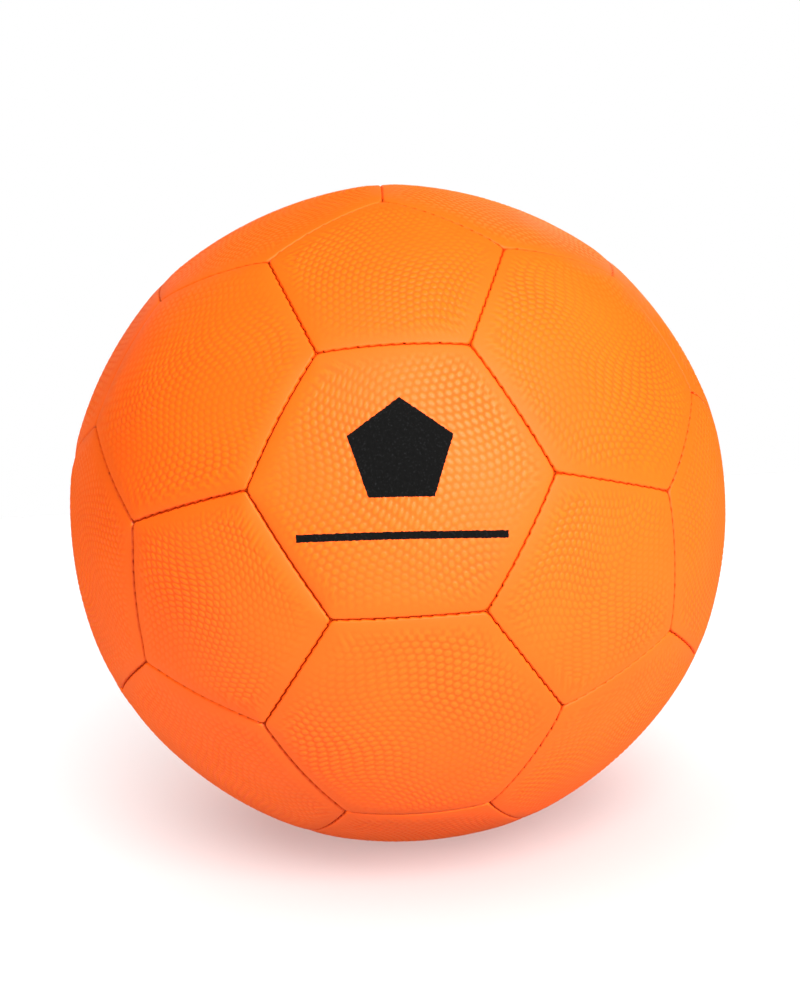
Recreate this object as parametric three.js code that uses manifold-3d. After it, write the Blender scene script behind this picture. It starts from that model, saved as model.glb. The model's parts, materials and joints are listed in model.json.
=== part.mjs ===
// A size 5 soccer ball: twenty hexagon panels and twelve pentagon panels, sewn edge to edge around an
// air bladder with a rubber valve. Millimetres, +Z up, origin at the ball's centre.
// The front hexagon faces -Y and leans back a little, and the valve is in the hexagon opposite it.
// +X is a two-fold axis of the panel layout.

import * as THREE from "three";
import { mergeVertices } from "three/addons/utils/BufferGeometryUtils.js";
import Module from "manifold-3d";

const wasm = await Module();
wasm.setup();

// The whole ball
const CORNER_RADIUS = 110.2;                      // from the centre to where three seams meet
const FACET_SHARE = 0.14;                         // 0 is a true sphere and 1 is flat panels
const FRONT_LEAN = THREE.MathUtils.degToRad(15);  // the front hexagon's centre above the horizontal

// Panels: a laminated cover whose sewn edges turn inward as flanges
const PANEL_THICKNESS = 2.5;
const SEAM_GAP = 0.32;         // between the flanges of two panels
const SHOULDER_WIDTH = 2.8;    // where the cover starts to round over into the seam
const SHOULDER_BEND = 1.3;     // the middle of that rounding
const SHOULDER_BEND_DEPTH = 0.45;
const SHOULDER_DEPTH = 2.0;    // where the rounding meets the flange
const FLANGE_DEPTH = 5.5;
const FLANGE_THICKNESS = 1.55;
const STEPS_PER_SIDE = 3;

// Thread in the seams
const THREAD_RADIUS = 0.36;
const THREAD_DEPTH = 1.05;
const KNOT_RADIUS = 0.5;

// Bladder
const BLADDER_RADIUS = 103.4;
const BLADDER_WALL = 0.6;
const BLADDER_STEPS = 13;      // from the far pole to the valve
const BLADDER_SECTORS = 30;

// Valve: heights are distances from the ball's centre along the valve's own axis
const VALVE_SECTORS = 24;
const VALVE_HOLE_RADIUS = 4.6;      // through the panel, the patch and the bladder
const HOUSING_RADIUS = 4.2;
const HOUSING_BORE_RADIUS = 2.7;
const HOUSING_LIP_BORE_RADIUS = 3.6;
const HOUSING_TOP = 107.5;
const HOUSING_BOTTOM = 97.0;
const HOUSING_LIP_TOP = 98.6;
const HOUSING_FLANGE_REACH = 11.0;
const HOUSING_FLANGE_INNER = 103.75;
const HOUSING_FLANGE_OUTER = 104.6;
const PATCH_REACH = 15.0;
const PATCH_INNER = 104.95;
const PATCH_OUTER = 105.5;
const CORE_RADIUS = 2.4;
const CORE_HEAD_RADIUS = 3.5;
const CORE_HEAD_BOTTOM = 107.8;
const CORE_FACE = 108.5;
const CORE_LIP_RADIUS = 3.3;
const CORE_LIP_TOP = 98.3;
const CORE_BOTTOM = 96.6;
const NEEDLE_HOLE_RADIUS = 0.7;

// Seam length between two corners, from the geometry of a truncated icosahedron
const SIDE_LENGTH = (4 * CORNER_RADIUS) / Math.sqrt(58 + 18 * Math.sqrt(5));

// Points closer than this are one point
const MERGE_DISTANCE = 0.0001;

const ball = new THREE.Group();

function addPiece(parent, name, geometry, colour, roughness) {
  const material = new THREE.MeshStandardMaterial({ color: colour, roughness: roughness, metalness: 0 });
  const mesh = new THREE.Mesh(geometry, material);
  mesh.name = name;
  parent.add(mesh);
  return mesh;
}

// ---- Closed meshes, joins and cuts ----

function toSolid(geometry) {
  const bare = geometry.clone();
  bare.deleteAttribute("normal");
  bare.deleteAttribute("uv");
  const merged = mergeVertices(bare, MERGE_DISTANCE);
  const mesh = new wasm.Mesh({
    numProp: 3,
    vertProperties: new Float32Array(merged.attributes.position.array),
    triVerts: new Uint32Array(merged.index.array),
  });
  return new wasm.Manifold(mesh);
}

function toGeometry(solid) {
  const mesh = solid.getMesh();
  const geometry = new THREE.BufferGeometry();
  geometry.setAttribute("position", new THREE.BufferAttribute(mesh.vertProperties, mesh.numProp));
  geometry.setIndex(new THREE.BufferAttribute(mesh.triVerts, 1));
  geometry.computeVertexNormals();
  return geometry;
}

// ---- Panel layout ----

// The corners of an icosahedron. A pentagon lies on each corner and a hexagon on each face.
function icosahedronPeaks() {
  const golden = (1 + Math.sqrt(5)) / 2;
  const peaks = [];
  for (const one of [-1, 1]) {
    for (const long of [-golden, golden]) {
      peaks.push(new THREE.Vector3(0, one, long));
      peaks.push(new THREE.Vector3(one, long, 0));
      peaks.push(new THREE.Vector3(long, 0, one));
    }
  }
  return peaks;
}

function areNeighbours(a, b, spacing) {
  return Math.abs(a.distanceTo(b) - spacing) < 0.01 * spacing;
}

// Each panel: its number of sides, its centre and one of its corners
function panelLayout(peaks, spacing) {
  const panels = [];
  for (const peak of peaks) {
    const neighbour = peaks.find((other) => areNeighbours(peak, other, spacing));
    panels.push({ sides: 5, centre: peak.clone(), corner: peak.clone().lerp(neighbour, 1 / 3) });
  }
  for (const [i, a] of peaks.entries()) {
    for (const [j, b] of peaks.entries()) {
      for (const [k, c] of peaks.entries()) {
        const isFace = i < j && j < k && areNeighbours(a, b, spacing)
          && areNeighbours(b, c, spacing) && areNeighbours(a, c, spacing);
        if (isFace) {
          const centre = a.clone().add(b).add(c).divideScalar(3);
          panels.push({ sides: 6, centre: centre, corner: a.clone().lerp(b, 1 / 3) });
        }
      }
    }
  }
  return panels;
}

// Turns the icosahedron so that one face looks along -Y, with one of its corners above, then leans it back
function turnPeaks(peaks, spacing) {
  const top = peaks[0];
  const left = peaks.find((other) => areNeighbours(top, other, spacing));
  const right = peaks.find((other) => areNeighbours(top, other, spacing) && areNeighbours(left, other, spacing));
  const back = top.clone().add(left).add(right).negate().normalize();
  const up = top.clone().addScaledVector(back, -top.dot(back)).normalize();
  const across = new THREE.Vector3().crossVectors(back, up);
  const turn = new THREE.Matrix4().makeBasis(across, back, up).transpose();
  const lean = new THREE.Matrix4().makeRotationX(-FRONT_LEAN);
  return peaks.map((peak) => peak.clone().applyMatrix4(turn).applyMatrix4(lean));
}

// ---- Panels ----

// A panel about its own centre line, which is +Z, with a corner over +X.
// Rings run from the middle of the cover out to the seam, down the flange and back under the cover.
function panelGeometry(sides) {
  const flatRadius = SIDE_LENGTH / (2 * Math.sin(Math.PI / sides));
  const flatHeight = Math.sqrt(CORNER_RADIUS ** 2 - flatRadius ** 2);
  const halfWidthAngle = Math.atan((flatRadius * Math.cos(Math.PI / sides)) / flatHeight);
  const halfWidth = halfWidthAngle * CORNER_RADIUS;
  const pointsPerRing = sides * STEPS_PER_SIDE;
  const wall = SEAM_GAP / 2;
  const rings = [
    [halfWidth / 2, 0],
    [SHOULDER_WIDTH, 0],
    [SHOULDER_BEND, SHOULDER_BEND_DEPTH],
    [wall, SHOULDER_DEPTH],
    [wall, FLANGE_DEPTH],
    [wall + FLANGE_THICKNESS, FLANGE_DEPTH],
    [wall + FLANGE_THICKNESS, PANEL_THICKNESS],
    [halfWidth / 2, PANEL_THICKNESS],
  ];

  const corners = [];
  for (let i = 0; i <= sides; i += 1) {
    const angle = (i * 2 * Math.PI) / sides;
    corners.push(new THREE.Vector2(flatRadius * Math.cos(angle), flatRadius * Math.sin(angle)));
  }

  // Where a line from the ball's centre through a point of the flat polygon meets the cover, less a depth
  const onCover = (flatPoint, depth) => {
    const way = new THREE.Vector3(flatPoint.x, flatPoint.y, flatHeight).normalize();
    const toFlat = flatHeight / way.z;
    return way.multiplyScalar((1 - FACET_SHARE) * CORNER_RADIUS + FACET_SHARE * toFlat - depth);
  };

  const centre = new THREE.Vector2(0, 0);
  const points = [onCover(centre, 0)];
  for (const [inset, depth] of rings) {
    const shrink = Math.tan(halfWidthAngle - inset / CORNER_RADIUS) / Math.tan(halfWidthAngle);
    for (let side = 0; side < sides; side += 1) {
      for (let step = 0; step < STEPS_PER_SIDE; step += 1) {
        const flatPoint = corners[side].clone().lerp(corners[side + 1], step / STEPS_PER_SIDE);
        points.push(onCover(flatPoint.multiplyScalar(shrink), depth));
      }
    }
  }
  points.push(onCover(centre, PANEL_THICKNESS));

  const last = points.length - 1;
  const lastRing = 1 + (rings.length - 1) * pointsPerRing;
  const triangles = [];
  for (let i = 0; i < pointsPerRing; i += 1) {
    const next = (i + 1) % pointsPerRing;
    triangles.push(0, 1 + i, 1 + next);
    for (let ring = 0; ring + 1 < rings.length; ring += 1) {
      const near = 1 + ring * pointsPerRing;
      const far = near + pointsPerRing;
      triangles.push(near + i, far + i, far + next);
      triangles.push(near + i, far + next, near + next);
    }
    triangles.push(lastRing + i, last, lastRing + next);
  }
  const geometry = new THREE.BufferGeometry().setFromPoints(points);
  geometry.setIndex(triangles);
  geometry.computeVertexNormals();
  return geometry;
}

function cutValveHole(geometry) {
  const cutter = new THREE.CylinderGeometry(VALVE_HOLE_RADIUS, VALVE_HOLE_RADIUS, 20, VALVE_SECTORS);
  cutter.rotateX(Math.PI / 2);
  cutter.translate(0, 0, CORNER_RADIUS);
  return toGeometry(toSolid(geometry).subtract(toSolid(cutter)));
}

function placePanel(mesh, panel) {
  const outward = panel.centre.clone().normalize();
  const toCorner = panel.corner.clone().addScaledVector(outward, -panel.corner.dot(outward)).normalize();
  const sideways = new THREE.Vector3().crossVectors(outward, toCorner);
  mesh.quaternion.setFromRotationMatrix(new THREE.Matrix4().makeBasis(toCorner, sideways, outward));
}

// Panels are numbered outward from the front one, and clockwise from the top as the front is faced
function addPanels(layout) {
  const front = new THREE.Vector3(0, -Math.cos(FRONT_LEAN), Math.sin(FRONT_LEAN));
  const frontUp = new THREE.Vector3(0, Math.sin(FRONT_LEAN), Math.cos(FRONT_LEAN));
  const clockAngle = (panel) => {
    const angle = Math.atan2(panel.centre.x, panel.centre.dot(frontUp));
    return angle < -0.01 ? angle + 2 * Math.PI : angle;
  };
  const order = (panel) => 100 * panel.centre.angleTo(front) + clockAngle(panel);
  const kinds = [
    { sides: 6, label: "hexagon", colour: 0xff7d28 },
    { sides: 5, label: "pentagon", colour: 0xff8530 },
  ];
  for (const kind of kinds) {
    const shape = panelGeometry(kind.sides);
    const panels = layout.filter((panel) => panel.sides === kind.sides);
    panels.sort((a, b) => order(a) - order(b));
    for (const [index, panel] of panels.entries()) {
      const isValvePanel = panel.centre.angleTo(front) > Math.PI - 0.01;
      const geometry = isValvePanel ? cutValveHole(shape) : shape;
      const name = `${kind.label}_panel_${String(index + 1).padStart(2, "0")}`;
      placePanel(addPiece(ball, name, geometry, kind.colour, 0.5), panel);
    }
  }
}

// ---- Thread ----

function ballCorners(peaks, spacing) {
  const corners = [];
  for (const peak of peaks) {
    for (const other of peaks) {
      if (areNeighbours(peak, other, spacing)) {
        corners.push(peak.clone().lerp(other, 1 / 3));
      }
    }
  }
  return corners.map((corner) => corner.multiplyScalar(CORNER_RADIUS / corner.length()));
}

function threadPoint(a, b, share) {
  const flat = a.clone().lerp(b, share);
  const cover = (1 - FACET_SHARE) * CORNER_RADIUS + FACET_SHARE * flat.length();
  return flat.setLength(cover - THREAD_DEPTH);
}

// The thread where three seams meet. Its three side points lie between the seams, anticlockwise.
function threadKnot(corner, corners) {
  const outward = corner.clone().normalize();
  const seams = corners.filter((other) => areNeighbours(corner, other, SIDE_LENGTH));
  const ways = seams.map((other) => other.clone().sub(corner).projectOnPlane(outward).normalize());
  const isClockwise = new THREE.Vector3().crossVectors(ways[0], ways[1]).dot(outward) < 0;
  if (isClockwise) {
    seams.reverse();
    ways.reverse();
  }
  const middle = threadPoint(corner, corner, 0);
  const sides = ways.map((way, i) => {
    const between = way.clone().add(ways[(i + 1) % ways.length]).normalize();
    return middle.clone().addScaledVector(between, KNOT_RADIUS);
  });
  return {
    seams: seams,
    sides: sides,
    top: middle.clone().addScaledVector(outward, THREAD_RADIUS),
    bottom: middle.clone().addScaledVector(outward, -THREAD_RADIUS),
  };
}

// The four points of the thread's section where it leaves a knot: top, left, bottom and right
function sectionAtKnot(knot, seamIndex) {
  const rightSide = (seamIndex + knot.sides.length - 1) % knot.sides.length;
  return [knot.top, knot.sides[seamIndex], knot.bottom, knot.sides[rightSide]];
}

function sectionAlongSeam(a, b, share) {
  const middle = threadPoint(a, b, share);
  const outward = middle.clone().normalize();
  const left = new THREE.Vector3().crossVectors(outward, b.clone().sub(a)).normalize();
  return [
    middle.clone().addScaledVector(outward, THREAD_RADIUS),
    middle.clone().addScaledVector(left, THREAD_RADIUS),
    middle.clone().addScaledVector(outward, -THREAD_RADIUS),
    middle.clone().addScaledVector(left, -THREAD_RADIUS),
  ];
}

// All the thread as one net, with a length along every seam
function threadNet(corners) {
  const knots = corners.map((corner) => threadKnot(corner, corners));
  const points = [];
  for (const [i, a] of corners.entries()) {
    for (const [seamIndex, b] of knots[i].seams.entries()) {
      const j = corners.indexOf(b);
      if (i < j) {
        const [top, right, bottom, left] = sectionAtKnot(knots[j], knots[j].seams.indexOf(a));
        const sections = [sectionAtKnot(knots[i], seamIndex)];
        for (let step = 1; step < STEPS_PER_SIDE; step += 1) {
          sections.push(sectionAlongSeam(a, b, step / STEPS_PER_SIDE));
        }
        sections.push([top, left, bottom, right]);
        for (let step = 0; step < STEPS_PER_SIDE; step += 1) {
          const near = sections[step];
          const far = sections[step + 1];
          for (let k = 0; k < near.length; k += 1) {
            const next = (k + 1) % near.length;
            points.push(near[k], far[k], far[next]);
            points.push(near[k], far[next], near[next]);
          }
        }
      }
    }
  }
  return mergeVertices(new THREE.BufferGeometry().setFromPoints(points), MERGE_DISTANCE);
}

// ---- Bladder and valve, turned about +Y and then leaned to face the valve panel ----

function arcPoints(radius, fromAngle, toAngle, steps) {
  const points = [];
  for (let i = 0; i <= steps; i += 1) {
    const angle = fromAngle + ((toAngle - fromAngle) * i) / steps;
    points.push(new THREE.Vector2(radius * Math.sin(angle), radius * Math.cos(angle)));
  }
  return points;
}

function turnedGeometry(points, sectors) {
  return new THREE.LatheGeometry(points, sectors);
}

function bladderGeometry() {
  const inner = BLADDER_RADIUS - BLADDER_WALL;
  const rim = Math.asin(VALVE_HOLE_RADIUS / inner);
  const outside = arcPoints(BLADDER_RADIUS, Math.PI, rim, BLADDER_STEPS);
  const inside = arcPoints(inner, rim, Math.PI, BLADDER_STEPS);
  outside[0].x = 0;
  inside[inside.length - 1].x = 0;
  return turnedGeometry([...outside, ...inside], BLADDER_SECTORS);
}

function shellArc(radius, fromReach, toReach) {
  return arcPoints(radius, Math.asin(fromReach / radius), Math.asin(toReach / radius), 2);
}

// A tube with a flange that is bonded to the bladder
function housingGeometry() {
  const points = [
    new THREE.Vector2(HOUSING_RADIUS, HOUSING_BOTTOM),
    ...shellArc(HOUSING_FLANGE_INNER, HOUSING_RADIUS, HOUSING_FLANGE_REACH),
    ...shellArc(HOUSING_FLANGE_OUTER, HOUSING_FLANGE_REACH, HOUSING_RADIUS),
    new THREE.Vector2(HOUSING_RADIUS, HOUSING_TOP),
    new THREE.Vector2(HOUSING_BORE_RADIUS, HOUSING_TOP),
    new THREE.Vector2(HOUSING_BORE_RADIUS, HOUSING_LIP_TOP),
    new THREE.Vector2(HOUSING_LIP_BORE_RADIUS, HOUSING_LIP_TOP),
    new THREE.Vector2(HOUSING_LIP_BORE_RADIUS, HOUSING_BOTTOM),
    new THREE.Vector2(HOUSING_RADIUS, HOUSING_BOTTOM),
  ];
  return turnedGeometry(points, VALVE_SECTORS);
}

// A fabric ring behind the panel, around the valve hole
function patchGeometry() {
  const points = [
    ...shellArc(PATCH_INNER, VALVE_HOLE_RADIUS, PATCH_REACH),
    ...shellArc(PATCH_OUTER, PATCH_REACH, VALVE_HOLE_RADIUS),
  ];
  points.push(points[0].clone());
  return turnedGeometry(points, VALVE_SECTORS);
}

// A soft plug with a head at the ball's surface, a lip that holds it in and a hole for the pump needle
function coreGeometry() {
  const points = [
    new THREE.Vector2(NEEDLE_HOLE_RADIUS, CORE_BOTTOM),
    new THREE.Vector2(CORE_LIP_RADIUS - 0.6, CORE_BOTTOM),
    new THREE.Vector2(CORE_LIP_RADIUS, CORE_BOTTOM + 0.6),
    new THREE.Vector2(CORE_LIP_RADIUS, CORE_LIP_TOP),
    new THREE.Vector2(CORE_RADIUS, CORE_LIP_TOP),
    new THREE.Vector2(CORE_RADIUS, CORE_HEAD_BOTTOM),
    new THREE.Vector2(CORE_HEAD_RADIUS, CORE_HEAD_BOTTOM),
    new THREE.Vector2(CORE_HEAD_RADIUS, CORE_FACE),
    new THREE.Vector2(NEEDLE_HOLE_RADIUS, CORE_FACE),
    new THREE.Vector2(NEEDLE_HOLE_RADIUS, CORE_BOTTOM),
  ];
  return turnedGeometry(points, VALVE_SECTORS);
}

function addBladderAndValve() {
  const inside = new THREE.Group();
  inside.rotation.x = -FRONT_LEAN;
  addPiece(inside, "bladder", bladderGeometry(), 0x2a2a2c, 0.7);
  addPiece(inside, "valve_housing", housingGeometry(), 0x1f1f20, 0.65);
  addPiece(inside, "valve_patch", patchGeometry(), 0xd8d2c4, 0.9);
  addPiece(inside, "valve_core", coreGeometry(), 0x1a1a1a, 0.6);
  ball.add(inside);
}

// ---- The ball ----

const ICOSAHEDRON_SPACING = 2;
const peaks = turnPeaks(icosahedronPeaks(), ICOSAHEDRON_SPACING);
addPanels(panelLayout(peaks, ICOSAHEDRON_SPACING));
addPiece(ball, "seam_thread", threadNet(ballCorners(peaks, ICOSAHEDRON_SPACING)), 0xa83018, 0.8);
addBladderAndValve();

export default ball;
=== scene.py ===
# The looks of a sewn soccer ball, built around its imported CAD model.
# Metres, +Z up, origin at the ball's centre. The printed panel faces -Y.
import json
import math

import bpy
import numpy as np
from mathutils import Matrix, Vector

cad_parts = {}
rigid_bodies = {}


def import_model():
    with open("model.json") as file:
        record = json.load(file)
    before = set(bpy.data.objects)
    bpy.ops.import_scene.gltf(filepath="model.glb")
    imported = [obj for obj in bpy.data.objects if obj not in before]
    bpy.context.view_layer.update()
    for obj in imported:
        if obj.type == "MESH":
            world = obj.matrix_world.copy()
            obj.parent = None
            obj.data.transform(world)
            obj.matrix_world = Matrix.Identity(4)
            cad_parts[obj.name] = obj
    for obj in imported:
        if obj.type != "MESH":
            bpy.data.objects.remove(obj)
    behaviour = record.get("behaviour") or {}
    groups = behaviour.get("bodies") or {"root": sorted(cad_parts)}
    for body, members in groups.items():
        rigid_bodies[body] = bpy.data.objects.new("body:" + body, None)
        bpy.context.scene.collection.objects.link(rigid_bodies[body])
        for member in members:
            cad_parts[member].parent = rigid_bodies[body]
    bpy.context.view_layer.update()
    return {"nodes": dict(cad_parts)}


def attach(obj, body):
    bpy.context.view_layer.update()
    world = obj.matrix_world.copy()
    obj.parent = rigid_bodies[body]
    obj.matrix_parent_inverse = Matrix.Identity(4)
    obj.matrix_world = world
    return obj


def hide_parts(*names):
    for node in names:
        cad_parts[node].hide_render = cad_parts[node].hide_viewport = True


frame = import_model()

MM = 0.001
TURN = 2 * math.pi

# ---- The ball, with the CAD model's dimensions ----
CORNER_RADIUS = 110.2 * MM      # from the centre to where three seams meet
FACET_SHARE = 0.14              # 0 is a true sphere and 1 is flat panels
PANEL_THICKNESS = 2.5 * MM
FLANGE_DEPTH = 5.5 * MM
FLANGE_THICKNESS = 1.55 * MM
VALVE_HOLE_RADIUS = 4.6 * MM
FRONT_LEAN = math.radians(15)   # the printed panel's middle above the horizontal
SEAM_LENGTH = 4 * CORNER_RADIUS / math.sqrt(58 + 18 * math.sqrt(5))
SEAM_ARC = 2 * CORNER_RADIUS * math.asin(SEAM_LENGTH / (2 * CORNER_RADIUS))

# ---- Seams: how a panel's edge rounds over and is drawn in by the stitches ----
BAND_WIDTH = 6.5 * MM           # from the seam to where the panel starts to dip
BAND_DIP = 0.55 * MM            # at a middling seam
DIP_POWER = 2.5                 # how fast the dip grows as a seam stands more open
BAND_RINGS = 6
LIP_WIDTH = 0.75 * MM           # from the seam to where the panel rounds over sharply
LIP_DEPTH = 0.85 * MM
LIP_RINGS = 10
SEAM_HALF_GAP = 0.16 * MM       # at the foot of the lip
FLANGE_HALF_GAP = 0.16 * MM     # where the flanges meet, as in the CAD model
SLOT_SHARES = (0.3, 1.0)        # steps down the side of the slot
CORNER_ROUNDING = 0.35 * MM     # at the seam
CORNER_SOFTENING = 0.3          # extra rounding for each unit of distance from the seam
MOST_OPEN_WAY = (-0.51, -0.64, -0.09)  # where the seams stand most open, from the centre
OPENNESS = 0.45                 # of a seam square to that way, where 1 is middling
OPENNESS_SPREAD = 0.12
TIGHTEST = 0.78
OPENING_TAPER = 7.0 * MM        # from a corner, where every seam is middling

# ---- Stitches: the panels' edges shift from stitch to stitch, with a small pit at each ----
STITCHES_PER_SEAM = 13
STITCH_JITTER = 0.35 * MM
STITCH_SHIFT = 0.24 * MM
STITCH_TAPER = 2.5 * MM         # from a corner to where the stitches have their full effect
STITCH_STRENGTHS = (0.3, 1.2)   # of a pit, where 1 is the usual one
STEADY_SHARE = 0.8              # of a seam's stitches, which pull on the same side
FAR_SIDE_PULL = 0.25            # of a stitch on its other side
SLIDE_STEEPNESS = 7             # how sharply the edge steps back at a stitch
PIT_WIDTH = 0.4 * MM
PIT_OPENING = 0.4 * MM
PIT_DEPTH = 0.3 * MM
SEAM_BOW = 0.35 * MM
THREAD_RADIUS = 0.25 * MM
THREAD_DEPTH = 1.0 * MM         # below the panels' drawn-in edges
THREAD_RISE = 0.3 * MM          # at a stitch
THREAD_STEPS = 91
THREAD_SIDES = 6

# ---- Grain: close rows of round pebbles that wander over the panel ----
GRAIN_PITCH = 2.5 * MM
GRAIN_PITCH_SPREAD = 0.1        # share by which it varies from panel to panel
GRAIN_HEIGHT = 0.2 * MM
GRAIN_FADE_START = 1.6 * MM     # from the seam
GRAIN_FADE_END = 5.5 * MM
GRAIN_CORNER_ROUNDING = 1.5 * MM
GRAIN_VALVE_FADE = 4.0 * MM     # from the valve hole
BEND_LENGTHS = (95 * MM, 64 * MM, 47 * MM, 33 * MM)  # of the waves that bend the rows
BEND_SHARE = 0.048              # of a wave's length, sideways
ROWS_LOW = -1.2                 # the sum of the three rows of waves where a pebble starts
ROWS_HIGH = 0.6                 # and where it levels off
PEBBLE_SPREAD = 0.12            # share by which a pebble's height varies, for each wave below
PEBBLE_WAVES = ((1900, 700), (-900, 1500))       # radians per metre
STRENGTH_MIDDLE = 0.64          # of the grain, which is stronger in some places than in others
STRENGTH_SPREAD = 0.36
STRENGTH_WAVES = (((0.8, 0.6), 41 * MM), ((-0.5, 0.87), 57 * MM))  # ways and lengths
PEBBLE_BASE = 0.4               # share of a pebble's height at the panel's smooth level
RINGS = 96                      # from a panel's middle to its edge band

# ---- Finish ----
SEAM_SHADE_START = 0.45               # share of the lip's depth at which a panel's edge starts to darken with painted shade
SEAM_SHADE_END = 0.95
COVER_SPECULAR = 0.25
# Painted shade in the creases between pebbles, and a painted highlight that makes each pebble's top
# paler
SHADED_VALLEY_ORANGE = (0.82, 0.082, 0.0015, 1)
LIT_PEBBLE_ORANGE = (0.87, 0.122, 0.0045, 1)
DRIFT_ORANGE = (0.88, 0.125, 0.0045, 1)          # in broad, faint patches
SEAM_SHADE_ORANGE = (0.58, 0.056, 0.0012, 1)           # painted shade down in the seams
COVER_ROUGHNESS = (0.41, 0.49)
VALLEY_ROUGHNESS = 0.28         # on top of that, between the pebbles
INK = (0.0012, 0.0011, 0.001, 1)
# painted sheen: light grey specks on the ink, standing in for gloss on its grain
INK_SHEEN_SPECKLE = (0.012, 0.012, 0.013, 1)
THREAD_DARK = (0.42, 0.034, 0.001, 1)
THREAD_LIGHT = (0.58, 0.050, 0.0015, 1)
CLOTH_DARK = (0.62, 0.58, 0.50, 1)
CLOTH_LIGHT = (0.82, 0.79, 0.72, 1)
WEAVE_SCALE = 900.0
PRINT_TURN = math.radians(-2)
PENTAGON_HEIGHT = 7.5 * MM      # of its middle, above the middle of the front panel
PENTAGON_REACH = 12.8 * MM      # from its middle to a side
BAR_HEIGHT = -16 * MM
BAR_LENGTH = 60 * MM
BAR_WIDTH = 2.2 * MM
INK_RAGGEDNESS = 0.12 * MM
INK_EDGE = 0.03 * MM

# ---- Valve ----
VALVE_SIDES = 96
HOLE_ROUNDING = 1.4 * MM        # of the panel's edge round the valve
HOLE_DROP = 0.65                # of that rounding, inward
PLUG_STEM_SHARE = 0.68          # of the head's radius
PLUG_HEAD_THICKNESS = 0.7 * MM
PLUG_LIP_THICKNESS = 1.7 * MM
PLUG_LIP_INSET = 0.2 * MM       # from the head's radius
PLUG_LIP_CHAMFER = 0.6 * MM
PLUG_RIM_ROUNDING = 0.3 * MM
PLUG_RING_RADIUS = 2.35 * MM
PLUG_RING_WIDTH = 0.35 * MM     # half of it
PLUG_RING_DEPTH = 0.22 * MM
NEEDLE_FUNNEL = 0.5 * MM

# ---- Studio: azimuth and elevation in degrees, softness in degrees, brightness ----
WORLD_LIGHT = 0.03              # the backdrop's, on the ball: to the camera it is 1
KEY_LIGHT = (45, 28, 10, 2.22)
FILL_LIGHT = (-49, 30, 18, 0.85)
SHEEN_LIGHT = (21, 32, 50, 1.95)  # only shows as gloss
BACK_KEY_LIGHT = (165, 15, 25, 1.6)
BACK_FILL_LIGHT = (-155, 12, 30, 0.7)
FLOOR_LOW_LIGHT = (15, 35, 40, 1.08)
FLOOR_HIGH_LIGHT = (-30, 80, 80, 0.76)
FLOOR_GLOW = (0, 90, 5, 0.6)    # without a shadow
FLOOR_WHITE = 0.6
FLOOR_SIZE = 1.4

# ---- Camera ----
CAMERA_AZIMUTH = -0.75
CAMERA_ELEVATION = 9.9
CAMERA_ROLL = 3.2
CAMERA_DISTANCE = 0.620
CAMERA_LENS = 65.85
CAMERA_AIM = (0.6 * MM, 4.4 * MM)   # right of and above the ball's centre

SEED = 7


# ------------------------------------------------------------------ helpers

def unit(v):
    return v / np.linalg.norm(v, axis=-1, keepdims=True)


def smooth(t):
    t = np.clip(t, 0, 1)
    return t * t * (3 - 2 * t)


def node_points(name):
    mesh = frame["nodes"][name].data
    points = np.empty(len(mesh.vertices) * 3)
    mesh.vertices.foreach_get("co", points)
    return points.reshape(-1, 3)


def make_piece(name, points, faces, material):
    mesh = bpy.data.meshes.new(name)
    mesh.from_pydata(points.tolist(), [], faces)
    mesh.polygons.foreach_set("use_smooth", np.ones(len(mesh.polygons), dtype=bool))
    mesh.materials.append(material)
    mesh.update()
    piece = bpy.data.objects.new(name, mesh)
    bpy.context.scene.collection.objects.link(piece)
    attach(piece, "root")
    return piece


def add_attribute(piece, name, values):
    attribute = piece.data.attributes.new(name, "FLOAT", "POINT")
    attribute.data.foreach_set("value", np.ascontiguousarray(values, dtype=np.float32))


# ------------------------------------------------------------------ seams

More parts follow.
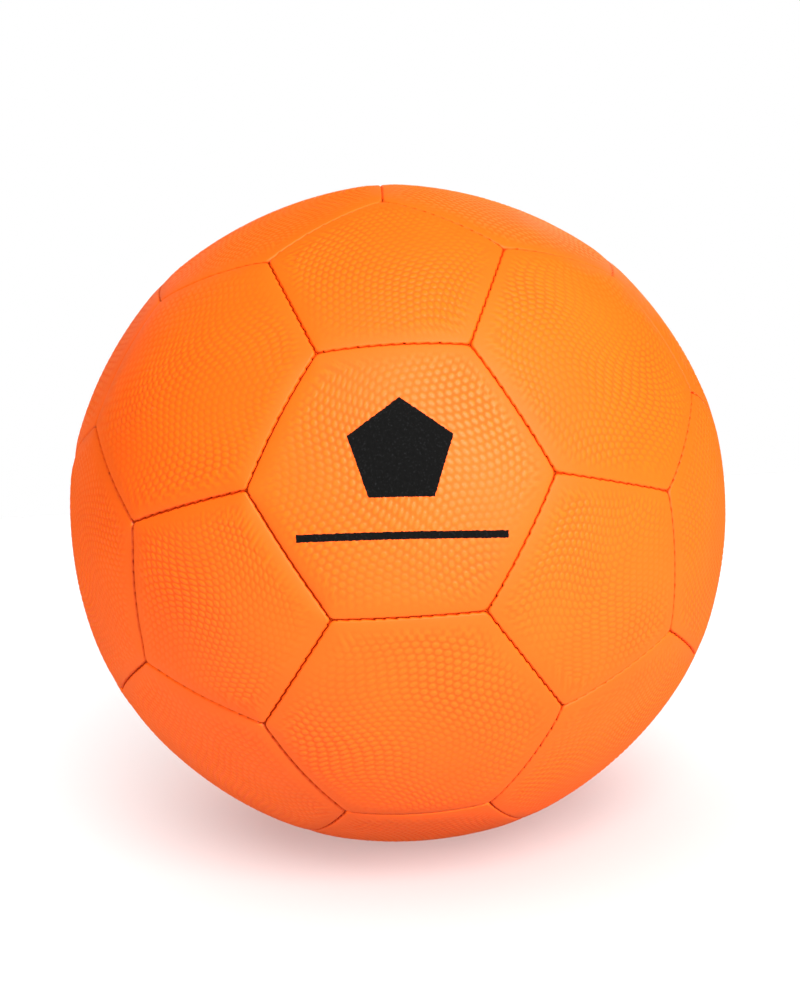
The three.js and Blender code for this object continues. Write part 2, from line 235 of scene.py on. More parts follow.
class Seam:
    """One seam: its middle, the way it runs, the way across it, and how its stitches fall.
    Places along it are distances from its middle."""

    def __init__(self, middle, way, index):
        rng = np.random.default_rng((SEED, index))
        self.middle, self.way, self.across = middle, way, np.cross(middle, way)
        self.bow = rng.uniform(-SEAM_BOW, SEAM_BOW)
        self.openness = max(TIGHTEST, OPENNESS + middle @ MOST_OPEN_WAY)
        self.openness += rng.uniform(-OPENNESS_SPREAD, OPENNESS_SPREAD)
        self.slant = rng.choice((-1, 1))
        pitch = SEAM_ARC / STITCHES_PER_SEAM
        self.stitches = (np.arange(STITCHES_PER_SEAM) - (STITCHES_PER_SEAM - 1) / 2) * pitch
        self.stitches += rng.uniform(-STITCH_JITTER, STITCH_JITTER, STITCHES_PER_SEAM)
        self.strengths = rng.uniform(*STITCH_STRENGTHS, STITCHES_PER_SEAM)
        steady = rng.uniform(size=STITCHES_PER_SEAM) < STEADY_SHARE
        self.sides = np.where(steady, self.slant, -self.slant)

    def taper(self, place):
        return smooth((SEAM_ARC / 2 - np.abs(place)) / STITCH_TAPER)

    def opening(self, place):
        """How open the seam is."""
        return 1 + (self.openness - 1) * smooth((SEAM_ARC / 2 - np.abs(place)) / OPENING_TAPER)

    def curve(self, place):
        """How far across the seam bows from a straight one."""
        return self.bow * (1 - (2 * place / SEAM_ARC) ** 2)

    def slide(self, place):
        """How far across the panels' edges slide, from stitch to stitch."""
        stops = np.concatenate([[-SEAM_ARC], self.stitches, [SEAM_ARC]])
        after = np.clip(np.searchsorted(stops, place), 1, len(stops) - 1)
        share = (place - stops[after - 1]) / (stops[after] - stops[after - 1])
        step_back = np.clip(SLIDE_STEEPNESS * np.minimum(share, 1 - share), 0, 1)
        slide = (2 * share - 1) * step_back
        return self.slant * STITCH_SHIFT * slide * self.taper(place)

    def pit(self, place, side):
        """1 in the middle of a strong stitch on this side of the seam, and 0 away from stitches."""
        from_stitch = (place[:, None] - self.stitches) / PIT_WIDTH
        share = np.where(self.sides == side, 1.0, FAR_SIDE_PULL) * self.strengths
        return (share * np.exp(-from_stitch ** 2)).sum(axis=1) * self.taper(place)


def band_dip(opening):
    """How far a panel's edge is drawn in, beside a seam this open."""
    return BAND_DIP * opening ** DIP_POWER


def panel_turn(name):
    """The panel's own axes in the ball's frame, from its CAD node: the columns are +X, +Y and +Z."""
    ways = unit(node_points(name))
    middle = unit(ways.mean(axis=0))
    corner = ways[np.argmin(ways @ middle)]
    x_axis = unit(corner - middle * (corner @ middle))
    return np.stack([x_axis, np.cross(middle, x_axis), middle], axis=1)


def panel_outline(name):
    return Outline(6 if name.startswith("hexagon") else 5)


def find_seams(names):
    """Every seam, by its middle's rounded place."""
    seams = {}
    for name in names:
        outline, turn = panel_outline(name), panel_turn(name)
        for middle, way in zip(outline.seam_middles @ turn.T, outline.seam_ways @ turn.T):
            key = seam_key(middle)
            if key not in seams:
                seams[key] = Seam(middle, way, len(seams))
    return seams


def seam_key(middle):
    return tuple(int(round(number * 1000)) for number in middle)


# ------------------------------------------------------------------ panel outline

class Outline:
    """A panel's flat polygon, in the panel's own frame: +Z out of its middle, a corner over +X."""

    def __init__(self, sides):
        self.sides = sides
        self.reach = SEAM_LENGTH / (2 * math.sin(math.pi / sides))
        self.height = math.sqrt(CORNER_RADIUS ** 2 - self.reach ** 2)
        turns = np.arange(sides + 1) * TURN / sides
        height = np.full(sides + 1, self.height)
        self.corners = np.stack([self.reach * np.cos(turns), self.reach * np.sin(turns), height], axis=1)
        self.seam_normals = unit(np.cross(self.corners[:-1], self.corners[1:]))
        self.seam_middles = unit(self.corners[:-1] + self.corners[1:])
        self.seam_ways = unit(self.corners[1:] - self.corners[:-1])

    def side_points(self, per_side):
        share = (np.arange(per_side) / per_side)[None, :, None]
        return (self.corners[:-1, None] * (1 - share) + self.corners[1:, None] * share).reshape(-1, 3)

    def angles(self, per_side):
        """The directions of evenly spaced points round the polygon's sides."""
        points = self.side_points(per_side)
        return np.arctan2(points[:, 1], points[:, 0])

    def places(self, per_side):
        """Which side each of those points is on, and how far along its seam."""
        side = np.repeat(np.arange(self.sides), per_side)
        ways = unit(self.side_points(per_side))
        along = (ways * self.seam_ways[side]).sum(axis=1)
        out = (ways * self.seam_middles[side]).sum(axis=1)
        return side, CORNER_RADIUS * np.arctan2(along, out)

    def ways(self, angles, reach):
        height = np.full_like(angles, self.height)
        return unit(np.stack([reach * np.cos(angles), reach * np.sin(angles), height], axis=1))

    def seam_distance(self, ways, rounding):
        """The distance to the nearest seam along the cover, with the corners rounded."""
        each = CORNER_RADIUS * np.arcsin(np.clip(ways @ self.seam_normals.T, -1, 1))
        return -rounding * np.log(np.exp(-each / np.reshape(rounding, (-1, 1))).sum(axis=1))

    def solve_reach(self, angles, inset):
        """The reach in the flat polygon at which a ray is the given distance from the seam."""
        rounding = CORNER_ROUNDING + CORNER_SOFTENING * np.maximum(inset, 0)
        low = np.zeros_like(angles)
        high = np.full_like(angles, self.reach * 1.1)
        for _ in range(32):
            middle = (low + high) / 2
            outside = self.seam_distance(self.ways(angles, middle), rounding) < inset
            high = np.where(outside, middle, high)
            low = np.where(outside, low, middle)
        return (low + high) / 2

    def cover_radius(self, ways):
        return (1 - FACET_SHARE) * CORNER_RADIUS + FACET_SHARE * self.height / ways[:, 2]


# ------------------------------------------------------------------ panel mesh

class Panel:
    """One panel's mesh. Rings of points run from the middle of the cover out to the seam, down the
    flange and back to the middle of the lining."""

    def __init__(self, name, seams, holed):
        self.outline = panel_outline(name)
        self.turn = panel_turn(name)
        self.rings = []
        self.hole_reach = 0.0
        if holed:
            self.hole_reach = self.outline.height * math.tan(VALVE_HOLE_RADIUS / CORNER_RADIUS)
        self.add_cover(holed)
        self.add_edge(seams)
        self.add_lining(holed)
        self.ways = np.concatenate([ring[1] for ring in self.rings])
        self.depth = np.concatenate([ring[2] for ring in self.rings])
        self.is_cover = np.concatenate([np.full(len(ring[1]), ring[3]) for ring in self.rings])
        self.seam_shade = np.concatenate([ring[4] for ring in self.rings])

    def add_ring(self, per_side, ways, depth, is_cover, seam_shade=0.0):
        depth = np.broadcast_to(depth, len(ways))
        seam_shade = np.broadcast_to(seam_shade, len(ways))
        self.rings.append((per_side, ways, depth, is_cover, seam_shade))

    def add_middle(self, depth, is_cover):
        self.add_ring(0, np.array([[0.0, 0.0, 1.0]]), depth, is_cover)

    def add_cover(self, holed):
        outline = self.outline
        angles = outline.angles(RINGS)
        self.band_reach = outline.solve_reach(angles, np.full_like(angles, BAND_WIDTH))
        order = np.argsort(angles % TURN)
        known_angles = (angles % TURN)[order]
        known_edge = self.band_reach[order]
        if not holed:
            self.add_middle(0.0, True)
        for k in range(0 if holed else 1, RINGS + 1):
            per_side = RINGS if holed else k
            angles = outline.angles(per_side)
            edge = np.interp(angles % TURN, known_angles, known_edge, period=TURN)
            reach = self.hole_reach + (edge - self.hole_reach) * k / RINGS
            depth = np.zeros_like(reach)
            if holed:
                rim = np.clip(1 - (reach - self.hole_reach) / HOLE_ROUNDING, 0, 1)
                depth = HOLE_DROP * HOLE_ROUNDING * (1 - np.sqrt(1 - rim ** 2))
            self.add_ring(per_side, outline.ways(angles, reach), depth, True)

    def seam_values(self, seams, per_side):
        """For each point of an edge ring: how far the seam bows and slides towards this panel, its pits
        and its openness."""
        side, place = self.outline.places(per_side)
        bow, slide, pit, openness = (np.zeros_like(place) for _ in range(4))
        for i in range(self.outline.sides):
            seam = seams[seam_key(self.turn @ self.outline.seam_middles[i])]
            along = place[side == i] * np.sign(self.turn @ self.outline.seam_ways[i] @ seam.way)
            facing = np.sign(self.turn @ self.outline.seam_normals[i] @ seam.across)
            bow[side == i] = facing * seam.curve(along)
            slide[side == i] = facing * seam.slide(along)
            pit[side == i] = seam.pit(along, facing)
            openness[side == i] = seam.opening(along)
        return bow, slide, pit, openness

    def add_edge_ring(self, per_side, inset, depth, is_cover, seam_shade=0.0):
        angles = self.outline.angles(per_side)
        inset = np.broadcast_to(inset, angles.shape)
        ways = self.outline.ways(angles, self.outline.solve_reach(angles, inset))
        self.add_ring(per_side, ways, depth, is_cover, seam_shade)

    def add_edge(self, seams):
        bow, _, _, openness = self.seam_values(seams, RINGS)
        for k in range(1, BAND_RINGS + 1):
            share = k / BAND_RINGS
            inset = BAND_WIDTH + (LIP_WIDTH - BAND_WIDTH) * share + bow * share
            self.add_edge_ring(RINGS, inset, band_dip(openness) * (1 - inset / BAND_WIDTH) ** 2, True)
        bow, slide, pit, openness = self.seam_values(seams, 2 * RINGS)
        for k in range(1, LIP_RINGS + 1):
            across = math.sin(0.5 * math.pi * k / LIP_RINGS)
            down = 1 - math.cos(0.5 * math.pi * k / LIP_RINGS)
            inset = LIP_WIDTH + (SEAM_HALF_GAP * openness - LIP_WIDTH) * across + bow
            inset = inset + (slide + PIT_OPENING * pit) * across ** 3
            dip = band_dip(openness) * np.clip(1 - inset / BAND_WIDTH, 0, 1) ** 2
            below = LIP_DEPTH * openness * down + PIT_DEPTH * pit * down ** 2
            depth = dip + below
            # painted shade in the seam, stronger deeper down the lip
            seam_shade = smooth((below / LIP_DEPTH - SEAM_SHADE_START) / (SEAM_SHADE_END - SEAM_SHADE_START))
            self.add_edge_ring(2 * RINGS, inset, depth, True, seam_shade)
        edge = inset
        # the slot's walls are fully in the painted seam shade
        for share in SLOT_SHARES:
            inset = edge + (FLANGE_HALF_GAP - edge) * share
            self.add_edge_ring(2 * RINGS, inset, depth + (FLANGE_DEPTH - depth) * share, False, 1.0)
        self.add_edge_ring(2 * RINGS, FLANGE_HALF_GAP + FLANGE_THICKNESS, FLANGE_DEPTH, False)
        self.add_edge_ring(2 * RINGS, FLANGE_HALF_GAP + FLANGE_THICKNESS, PANEL_THICKNESS, False)

    def add_lining(self, holed):
        angles = self.outline.angles(RINGS)
        for share in (0.66, 0.33):
            reach = self.hole_reach + (self.band_reach - self.hole_reach) * share
            self.add_ring(RINGS, self.outline.ways(angles, reach), PANEL_THICKNESS, False)
        if holed:
            ways = self.outline.ways(angles, np.full_like(angles, self.hole_reach))
            self.add_ring(RINGS, ways, PANEL_THICKNESS, False)
        else:
            self.add_middle(PANEL_THICKNESS, False)

    def faces(self, holed):
        faces = []
        starts = np.cumsum([0] + [len(ring[1]) for ring in self.rings]).tolist()
        pairs = list(range(len(self.rings)))
        if holed:
            pairs.append(0)
        for a, b in zip(pairs, pairs[1:]):
            per_side_a, per_side_b = self.rings[a][0], self.rings[b][0]
            join_rings(faces, self.outline.sides, starts[a], per_side_a, starts[b], per_side_b)
        return faces

    def spread(self):
        """The panel's points laid out flat, keeping their distance and direction from its middle."""
        from_middle = CORNER_RADIUS * np.arccos(np.clip(self.ways[:, 2], -1, 1))
        around = np.arctan2(self.ways[:, 1], self.ways[:, 0])
        return from_middle[:, None] * np.stack([np.cos(around), np.sin(around)], axis=1)

    def grain_share(self, holed):
        """How much of the grain each point has: none beside a seam or the valve."""
        rounding = np.full(len(self.ways), GRAIN_CORNER_ROUNDING)
        distance = self.outline.seam_distance(self.ways, rounding)
        share = smooth((distance - GRAIN_FADE_START) / (GRAIN_FADE_END - GRAIN_FADE_START))
        share = share * self.is_cover
        if holed:
            from_middle = np.linalg.norm(self.spread(), axis=1)
            share = share * smooth((from_middle - VALVE_HOLE_RADIUS) / GRAIN_VALVE_FADE)
        return share

    def points(self, lift):
        radius = self.outline.cover_radius(self.ways) - self.depth + lift
        return (self.ways * radius[:, None]) @ self.turn.T


def join_rings(faces, sides, a, a_side, b, b_side):
    """Faces between a ring that starts at point a and the next ring, which starts at point b.
    Each ring has a_side or b_side points on each side of the panel, or is a single point, at 0."""
    a_count, b_count = sides * a_side, sides * b_side
    if a_side == b_side:
        for i in range(a_count):
            j = (i + 1) % a_count
            faces.append((a + i, b + i, b + j, a + j))
    elif a_side == 0:
        faces.extend((a, b + i, b + (i + 1) % b_count) for i in range(b_count))
    elif b_side == 0:
        faces.extend((a + i, b, a + (i + 1) % a_count) for i in range(a_count))
    elif b_side == 2 * a_side and a_side > 1:
        for i in range(a_count):
            j = (i + 1) % a_count
            faces.append((a + i, b + 2 * i, b + 2 * i + 1))
            faces.append((a + i, b + 2 * i + 1, a + j))
            faces.append((a + j, b + 2 * i + 1, b + 2 * j))
    elif a_side == 2 * b_side:
        for i in range(b_count):
            j = (i + 1) % b_count
            faces.append((a + 2 * i, b + i, a + 2 * i + 1))
            faces.append((a + 2 * i + 1, b + i, b + j))
            faces.append((a + 2 * i + 1, b + j, a + 2 * j))
    else:
        for side in range(sides):
            for j in range(b_side):
                near = a + (side * a_side + j) % a_count
                far = b + side * b_side + j
                far_next = b + (side * b_side + j + 1) % b_count
                faces.append((near, far, far_next))
                if j < a_side:
                    faces.append((near, far_next, a + (side * a_side + j + 1) % a_count))


def flat_way(angle):
    return np.array([math.cos(angle), math.sin(angle)])


def grain(spread, rng):
    """Pebble height from 0 in the creases to 1, and how strong the grain is, over a panel laid out flat.
    Three rows of waves, 60 degrees apart, make round pebbles, and longer waves bend the rows."""
    turn = rng.uniform(0, TURN)
    bent = spread.copy()
    for length in BEND_LENGTHS:
        along = flat_way(rng.uniform(0, TURN))
        across = np.array([-along[1], along[0]])
        phase = TURN * (spread @ along) / length + rng.uniform(0, TURN)
        bent += BEND_SHARE * length * np.sin(phase)[:, None] * across
    pitch = GRAIN_PITCH * (1 + rng.uniform(-GRAIN_PITCH_SPREAD, GRAIN_PITCH_SPREAD))
    row_pitch = pitch * math.cos(math.pi / 6)
    rows = sum(np.cos(TURN * (bent @ flat_way(turn + k * math.pi / 3)) / row_pitch) for k in range(3))
    size = 1 + sum(PEBBLE_SPREAD * np.sin(spread @ np.array(wave)) for wave in PEBBLE_WAVES)
    ripple = sum(np.sin(TURN * (bent @ np.array(along)) / length + k * turn)
                 for k, (along, length) in enumerate(STRENGTH_WAVES, start=1))
    strength = STRENGTH_MIDDLE + STRENGTH_SPREAD * ripple / 2
    return smooth((rows - ROWS_LOW) / (ROWS_HIGH - ROWS_LOW)) * size, strength


def build_panels(names, seams, materials):
    front, back = "hexagon_panel_01", "hexagon_panel_20"
    faces = {}
    for index, name in enumerate(names):
        holed = name == back
        panel = Panel(name, seams, holed)
        kind = (panel.outline.sides, holed)
        if kind not in faces:
            faces[kind] = panel.faces(holed)
        pebble, strength = grain(panel.spread(), np.random.default_rng((SEED, 1000 + index)))
        strength = strength * panel.grain_share(holed)
        points = panel.points(GRAIN_HEIGHT * strength * (pebble - PEBBLE_BASE))
        material = materials["printed cover" if name == front else "cover"]
        piece = make_piece(name.replace("_panel_", "_cover_"), points, faces[kind], material)
        # the pebble height also sets the painted crease shade and the painted highlight on the tops
        add_attribute(piece, "pebble", 0.5 + (pebble - 0.5) * strength)
        # how far down in a seam each point is, which sets the painted shade there
        add_attribute(piece, "seam_shade", panel.seam_shade)
        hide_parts(name)


# ------------------------------------------------------------------ thread

def build_thread(seams, material):
    """The thread down in every seam, which rises at each stitch and follows the line between panels."""
    around = np.arange(THREAD_SIDES)[:, None] * TURN / THREAD_SIDES
    place = np.linspace(-SEAM_ARC / 2, SEAM_ARC / 2, THREAD_STEPS + 1)
    angle = place / CORNER_RADIUS
    middle_reach = CORNER_RADIUS * math.cos(SEAM_ARC / CORNER_RADIUS / 2)
    cover = (1 - FACET_SHARE) * CORNER_RADIUS + FACET_SHARE * middle_reach / np.cos(angle)
    points, faces = [], []
    for index, seam in enumerate(seams.values()):
        out = np.cos(angle)[:, None] * seam.middle + np.sin(angle)[:, None] * seam.way
        both_sides = seam.pit(place, seam.slant) + seam.pit(place, -seam.slant)
        rise = THREAD_RISE * both_sides / (1 + FAR_SIDE_PULL)
        height = cover - band_dip(seam.opening(place)) - THREAD_DEPTH + rise
        path = out * height[:, None] + (seam.curve(place) + seam.slide(place))[:, None] * seam.across
        section = np.cos(around) * seam.across + np.sin(around) * out[:, None]
        points.append((path[:, None] + THREAD_RADIUS * section).reshape(-1, 3))
        first = index * (THREAD_STEPS + 1) * THREAD_SIDES
        for k in range(THREAD_STEPS):
            near = first + k * THREAD_SIDES
            for i in range(THREAD_SIDES):
                j = (i + 1) % THREAD_SIDES
                faces.append((near + j, near + i, near + THREAD_SIDES + i, near + THREAD_SIDES + j))
        faces.append(tuple(range(first, first + THREAD_SIDES)))
        last = first + THREAD_STEPS * THREAD_SIDES
        faces.append(tuple(reversed(range(last, last + THREAD_SIDES))))
    piece = make_piece("sewing_thread", np.concatenate(points), faces, material)
    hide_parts("seam_thread")


# ------------------------------------------------------------------ valve

def build_valve(material):
    """The valve's plug, with a rounded rim, a sunk ring and a funnel into the needle hole."""
    turn = panel_turn("hexagon_panel_20")
    cad = node_points("valve_core") @ turn
    reach = np.hypot(cad[:, 0], cad[:, 1])
    top, bottom = cad[:, 2].max(), cad[:, 2].min()
    head, hole = reach.max(), reach.min()
    stem = head * PLUG_STEM_SHARE
    under_head = top - PLUG_HEAD_THICKNESS
    lip_top = bottom + PLUG_LIP_THICKNESS
    lip = head - PLUG_LIP_INSET
    profile = [(hole, bottom), (lip - PLUG_LIP_CHAMFER, bottom), (lip, bottom + PLUG_LIP_CHAMFER),
               (lip, lip_top), (stem, lip_top), (stem, under_head), (head, under_head)]
    for k in range(7):
        angle = k * math.pi / 12
        profile.append((head - PLUG_RIM_ROUNDING * (1 - math.cos(angle)),
                        top - PLUG_RIM_ROUNDING * (1 - math.sin(angle))))
    for k in range(9):
        angle = k * math.pi / 8
        profile.append((PLUG_RING_RADIUS + PLUG_RING_WIDTH * math.cos(angle),
                        top - PLUG_RING_DEPTH * math.sin(angle)))
    for k in range(6):
        angle = k * math.pi / 10
        profile.append((hole + NEEDLE_FUNNEL * (1 - math.sin(angle)),
                        top - NEEDLE_FUNNEL * (1 - math.cos(angle))))
    around = np.arange(VALVE_SIDES) * TURN / VALVE_SIDES
    rings = [np.stack([r * np.cos(around), r * np.sin(around), np.full(VALVE_SIDES, h)], axis=1)
             for r, h in profile]
    faces = []
    for k in range(len(profile)):
        near, far = k * VALVE_SIDES, (k + 1) % len(profile) * VALVE_SIDES
        for i in range(VALVE_SIDES):
            j = (i + 1) % VALVE_SIDES
            faces.append((near + i, near + j, far + j, far + i))
    piece = make_piece("valve_plug", np.concatenate(rings) @ turn.T, faces, material)
    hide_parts("valve_core")


# ------------------------------------------------------------------ materials

class Shading:
    """A new material and short ways to add nodes to it."""

    def __init__(self, name):
        self.material = bpy.data.materials.new(name)
        self.material.use_nodes = True
        self.tree = self.material.node_tree
        self.shader = self.tree.nodes["Principled BSDF"]
        self.place = self.tree.nodes.new("ShaderNodeTexCoord").outputs["Object"]

    def feed(self, socket, value):
        if isinstance(value, bpy.types.NodeSocket):
            self.tree.links.new(value, socket)
        else:
            socket.default_value = value

    def math(self, operation, *values):
        node = self.tree.nodes.new("ShaderNodeMath")
        node.operation = operation
        for socket, value in zip(node.inputs, values):
            self.feed(socket, value)
        return node.outputs[0]

    def noise(self, size, detail=2.0):
        """Noise whose patches are about this size, in metres."""
        node = self.tree.nodes.new("ShaderNodeTexNoise")
        node.inputs["Scale"].default_value = 1 / size
        node.inputs["Detail"].default_value = detail
        self.feed(node.inputs["Vector"], self.place)
        return node.outputs["Fac"]

    def attribute(self, name):
        node = self.tree.nodes.new("ShaderNodeAttribute")
        node.attribute_name = name
        return node.outputs["Fac"]

    def fit(self, value, low, high, new_low, new_high):
        node = self.tree.nodes.new("ShaderNodeMapRange")
        for socket, number in zip(node.inputs, (value, low, high, new_low, new_high)):
            self.feed(socket, number)
        return node.outputs["Result"]

    def mix(self, share, a, b):
        node = self.tree.nodes.new("ShaderNodeMix")
        node.data_type = "RGBA"
        factor, colours = node.inputs[0], [s for s in node.inputs if s.type == "RGBA"]
        self.feed(factor, share)
        self.feed(colours[0], a)
        self.feed(colours[1], b)
        return next(s for s in node.outputs if s.type == "RGBA")

    def dot(self, direction):
        node = self.tree.nodes.new("ShaderNodeVectorMath")
        node.operation = "DOT_PRODUCT"
        self.feed(node.inputs[0], self.place)
        node.inputs[1].default_value = direction
        return node.outputs["Value"]

    def bump(self, height, distance, strength):
        node = self.tree.nodes.new("ShaderNodeBump")
        node.inputs["Strength"].default_value = strength
        node.inputs["Distance"].default_value = distance
        self.feed(node.inputs["Height"], height)
        self.feed(self.shader.inputs["Normal"], node.outputs["Normal"])

    def finish(self, colour, roughness, specular):
        self.feed(self.shader.inputs["Base Color"], colour)
        self.feed(self.shader.inputs["Roughness"], roughness)
        self.shader.inputs["Specular IOR Level"].default_value = specular
        return self.material


def print_mask(shading):
    """1 on the ink: a plain pentagon with a plain bar below it, in the plane of the front panel."""
    panel_right = Vector((1, 0, 0))
    panel_up = Vector((0, math.sin(FRONT_LEAN), math.cos(FRONT_LEAN)))
    across = shading.dot(panel_right * math.cos(PRINT_TURN) + panel_up * math.sin(PRINT_TURN))
    up = shading.dot(panel_up * math.cos(PRINT_TURN) - panel_right * math.sin(PRINT_TURN))
    above = shading.math("SUBTRACT", up, PENTAGON_HEIGHT)
    pentagon = None
    for k in range(5):
        angle = math.radians(-90 + 72 * k)
        side = shading.math("ADD", shading.math("MULTIPLY", across, math.cos(angle)),
                            shading.math("MULTIPLY", above, math.sin(angle)))
        pentagon = side if pentagon is None else shading.math("MAXIMUM", pentagon, side)
    pentagon = shading.math("SUBTRACT", pentagon, PENTAGON_REACH)
    beside = shading.math("SUBTRACT", shading.math("ABSOLUTE", across), BAR_LENGTH / 2)
    over = shading.math("ABSOLUTE", shading.math("SUBTRACT", up, BAR_HEIGHT))
    bar = shading.math("MAXIMUM", beside, shading.math("SUBTRACT", over, BAR_WIDTH / 2))
    outside = shading.math("MINIMUM", pentagon, bar)
    ragged = shading.fit(shading.noise(0.9 * MM, 3.0), 0.3, 0.7, -INK_RAGGEDNESS, INK_RAGGEDNESS)
    outside = shading.math("ADD", outside, ragged)
    return shading.fit(outside, -INK_EDGE, INK_EDGE, 1.0, 0.0)


def cover_material(printed):
    shading = Shading("printed cover" if printed else "cover")
    pebble = shading.fit(shading.attribute("pebble"), 0.1, 0.85, 0.0, 1.0)
    # the colour follows pebble height: painted shade in the creases, painted highlight on the tops
    colour = shading.mix(pebble, SHADED_VALLEY_ORANGE, LIT_PEBBLE_ORANGE)
    drift = shading.fit(shading.noise(35 * MM, 3.0), 0.35, 0.7, 0.0, 0.5)
    colour = shading.mix(drift, colour, DRIFT_ORANGE)
    fine = shading.noise(0.35 * MM, 3.0)
    roughness = shading.fit(fine, 0.3, 0.7, *COVER_ROUGHNESS)
    valleys = shading.fit(pebble, 0.0, 1.0, VALLEY_ROUGHNESS, 0.0)
    roughness = shading.math("ADD", roughness, valleys)
    if printed:
        ink = print_mask(shading)
        # painted sheen specks on the ink
        speckle = shading.fit(shading.noise(0.5 * MM, 4.0), 0.58, 0.75, 0.0, 1.0)
        shade = shading.mix(speckle, INK, INK_SHEEN_SPECKLE)
        colour = shading.mix(ink, colour, shade)
        roughness = shading.fit(ink, 0.0, 1.0, roughness, 1.0)
    # painted shade down in the seams, by depth
    colour = shading.mix(shading.attribute("seam_shade"), colour, SEAM_SHADE_ORANGE)
    shading.bump(fine, 0.04 * MM, 0.25)
    return shading.finish(colour, roughness, COVER_SPECULAR)


def thread_material():
    shading = Shading("waxed thread")
    colour = shading.mix(shading.noise(0.5 * MM), THREAD_DARK, THREAD_LIGHT)
    return shading.finish(colour, 0.7, 0.05)


def rubber_material(name, shade):
    shading = Shading(name)
    fine = shading.noise(1.1 * MM, 4.0)
    colour = shading.mix(fine, (shade * 0.7,) * 3 + (1,), (shade * 1.4,) * 3 + (1,))
    shading.bump(fine, 0.05 * MM, 0.3)
    return shading.finish(colour, shading.fit(fine, 0.3, 0.7, 0.42, 0.62), 0.5)


def cloth_material():
    shading = Shading("backing cloth")
    weave = shading.tree.nodes.new("ShaderNodeTexWave")
    weave.inputs["Scale"].default_value = WEAVE_SCALE
    shading.feed(weave.inputs["Vector"], shading.place)
    colour = shading.mix(weave.outputs["Fac"], CLOTH_DARK, CLOTH_LIGHT)
    return shading.finish(colour, 0.9, 0.3)


def dress_cad_node(name, material):
    for slot in frame["nodes"][name].material_slots:
        slot.material = material


# ------------------------------------------------------------------ surroundings

def build_floor():
    lowest = min(vertex.co.z for piece in bpy.context.scene.objects if "_cover_" in piece.name
                 for vertex in piece.data.vertices)
    bpy.ops.mesh.primitive_plane_add(size=FLOOR_SIZE, location=(0, 0, lowest))
    floor = bpy.context.object
    floor.name = "studio_floor"
    shading = Shading("studio white")
    floor.data.materials.append(shading.finish((FLOOR_WHITE, FLOOR_WHITE, FLOOR_WHITE, 1), 0.9, 0.0))
    floor.visible_glossy = False


def direction(azimuth, elevation):
    """Towards a place seen from the ball: azimuth 0 is in front, and positive is to the right."""
    a, e = math.radians(azimuth), math.radians(elevation)
    return Vector((math.sin(a) * math.cos(e), -math.cos(a) * math.cos(e), math.sin(e)))


def add_soft_sun(name, azimuth, elevation, softness, brightness,
                 on_floor=False, shadow=True, gloss=False):
    """Even light from one side, on the ball or on the floor. At a brightness of 1, white that faces it
    looks white. Gloss light only shows as gloss, and the rest never does."""
    light = bpy.data.lights.new(name, "SUN")
    light.angle = math.radians(softness)
    light.energy = math.pi * brightness
    light.use_shadow = shadow
    lamp = bpy.data.objects.new(name, light)
    lamp.visible_glossy = gloss
    lamp.visible_diffuse = not gloss
    lamp.rotation_mode = "QUATERNION"
    lamp.rotation_quaternion = (-direction(azimuth, elevation)).to_track_quat("-Z", "Y")
    bpy.context.scene.collection.objects.link(lamp)
    lit = bpy.data.collections.new(name + " lights")
    lit.objects.link(bpy.data.objects["studio_floor"])
    lit.collection_objects[0].light_linking.link_state = "INCLUDE" if on_floor else "EXCLUDE"
    lamp.light_linking.receiver_collection = lit


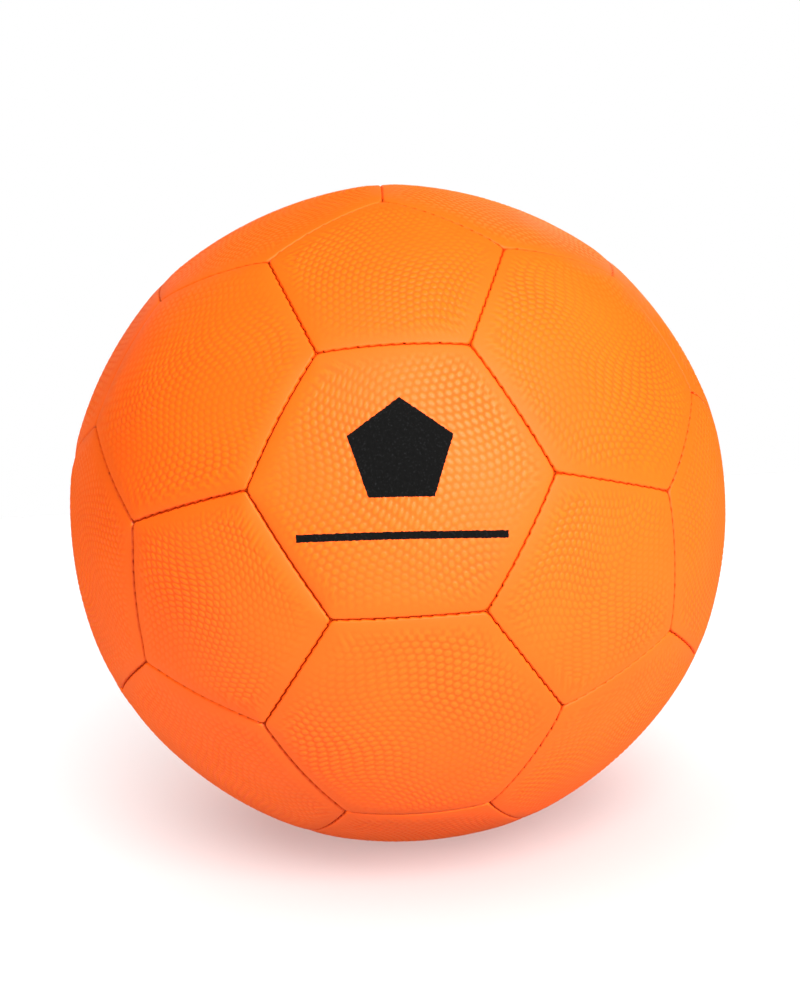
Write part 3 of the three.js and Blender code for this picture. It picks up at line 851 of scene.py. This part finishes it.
def build_lights():
    """A white backdrop that shines on the ball less than it looks, a key and a fill in front of the ball
    and behind it, and the floor's own lights."""
    world = bpy.data.worlds.new("white studio")
    world.use_nodes = True
    tree = world.node_tree
    rays = tree.nodes.new("ShaderNodeLightPath")
    strength = tree.nodes.new("ShaderNodeMapRange")
    strength.inputs["To Min"].default_value = WORLD_LIGHT
    strength.inputs["To Max"].default_value = 1.0
    tree.links.new(rays.outputs["Is Camera Ray"], strength.inputs["Value"])
    background = tree.nodes["Background"]
    background.inputs["Color"].default_value = (1, 1, 1, 1)
    tree.links.new(strength.outputs["Result"], background.inputs["Strength"])
    bpy.context.scene.world = world
    add_soft_sun("key", *KEY_LIGHT)
    add_soft_sun("fill", *FILL_LIGHT)
    add_soft_sun("back key", *BACK_KEY_LIGHT)
    add_soft_sun("back fill", *BACK_FILL_LIGHT)
    add_soft_sun("sheen", *SHEEN_LIGHT, gloss=True)
    add_soft_sun("low floor light", *FLOOR_LOW_LIGHT, on_floor=True)
    add_soft_sun("high floor light", *FLOOR_HIGH_LIGHT, on_floor=True)
    add_soft_sun("floor glow", *FLOOR_GLOW, on_floor=True, shadow=False)
    bpy.context.scene.view_settings.view_transform = "Standard"


def build_camera():
    data = bpy.data.cameras.new("camera")
    data.sensor_width = 36.0
    data.lens = CAMERA_LENS
    data.clip_start = 0.01
    camera = bpy.data.objects.new("camera", data)
    bpy.context.scene.collection.objects.link(camera)
    back = direction(CAMERA_AZIMUTH, CAMERA_ELEVATION)
    level_right = Vector((0, 0, 1)).cross(back).normalized()
    level_up = back.cross(level_right)
    roll = math.radians(CAMERA_ROLL)
    right = level_right * math.cos(roll) - level_up * math.sin(roll)
    up = level_right * math.sin(roll) + level_up * math.cos(roll)
    location = back * CAMERA_DISTANCE
    z_axis = (location - right * CAMERA_AIM[0] - up * CAMERA_AIM[1]).normalized()
    x_axis = up.cross(z_axis).normalized()
    turn = Matrix((x_axis, z_axis.cross(x_axis), z_axis)).transposed().to_4x4()
    camera.matrix_world = Matrix.Translation(location) @ turn
    bpy.context.scene.camera = camera


# ------------------------------------------------------------------ the scene


panel_names = sorted(name for name in frame["nodes"] if "_panel_" in name)
seams = find_seams(panel_names)
build_panels(panel_names, seams, {"cover": cover_material(False), "printed cover": cover_material(True)})
build_thread(seams, thread_material())
valve_rubber = rubber_material("valve rubber", 0.03)
build_valve(valve_rubber)
dress_cad_node("bladder", rubber_material("bladder rubber", 0.05))
dress_cad_node("valve_housing", valve_rubber)
dress_cad_node("valve_patch", cloth_material())
build_floor()
build_lights()
build_camera()
